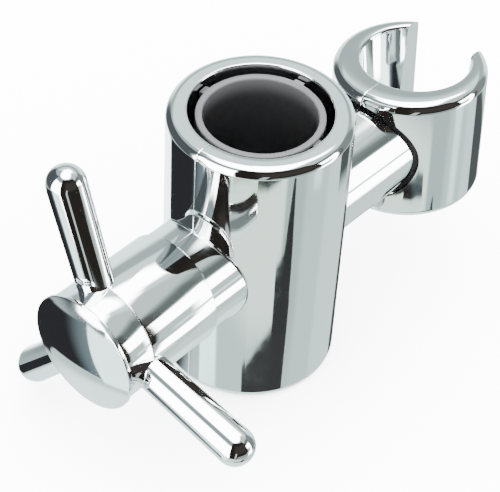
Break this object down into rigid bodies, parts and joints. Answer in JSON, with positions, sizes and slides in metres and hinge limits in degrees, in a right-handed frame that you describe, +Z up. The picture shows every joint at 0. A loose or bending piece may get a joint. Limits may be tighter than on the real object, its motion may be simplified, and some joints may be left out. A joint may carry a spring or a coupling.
{
  "type": "shower rail slider",
  "caption": "Chrome clamp slider for a round shower rail, with a spoked screw knob on one side and an open tilting cradle for a handset on the other.",
  "frame": {"origin": "on the rail's axis, at the lower ring face of the body", "axes": "+Z up along the rail, +X from the body to the cradle, the knob on the -X side, +Y completes the right-handed frame"},
  "size_m": [0.1169, 0.0627, 0.0676],
  "materials": {
    "chrome": "bright chrome plating on moulded ABS and cast zinc",
    "dark_grey_plastic": "smooth dark grey acetal",
    "black_plastic": "black nylon",
    "brass": "machined",
    "zinc_plated_steel": "bright zinc plating"
  },
  "bodies": {
    "slider": {"slider_body": "chrome", "rail_insert": "dark_grey_plastic", "threaded_bush": "brass", "stub_nut": "brass", "cradle_screw": "zinc_plated_steel", "spring_washer": "zinc_plated_steel", "friction_washer": "black_plastic"},
    "shoe": {"brake_shoe": "black_plastic"},
    "knob": {"clamp_screw": "zinc_plated_steel", "knob_sleeve": "chrome", "knob_hub": "chrome", "knob_cap": "chrome", "hub_screw": "zinc_plated_steel", "hub_washer": "zinc_plated_steel", "spoke_1": "chrome", "spoke_2": "chrome", "spoke_3": "chrome"},
    "cradle": {"cradle": "chrome"}
  },
  "joints": [
    {"name": "clamp_slide", "type": "slide", "parent": "slider", "child": "shoe", "axis": [1, 0, 0], "range_m": [-0.00185, 0]},
    {"name": "knob_turn", "type": "hinge", "parent": "shoe", "child": "knob", "pos_m": [-0.0416, 0, 0.032], "axis": [1, 0, 0], "range_deg": [-530, 0]},
    {"name": "cradle_swivel", "type": "hinge", "parent": "slider", "child": "cradle", "pos_m": [0.0343, 0, 0.032], "axis": [1, 0, 0], "range_deg": [-5, 12.2]}
  ],
  "couplings": [
    {"joint": "clamp_slide", "follows": "knob_turn", "m_per_rad": 0.00019894}
  ]
}
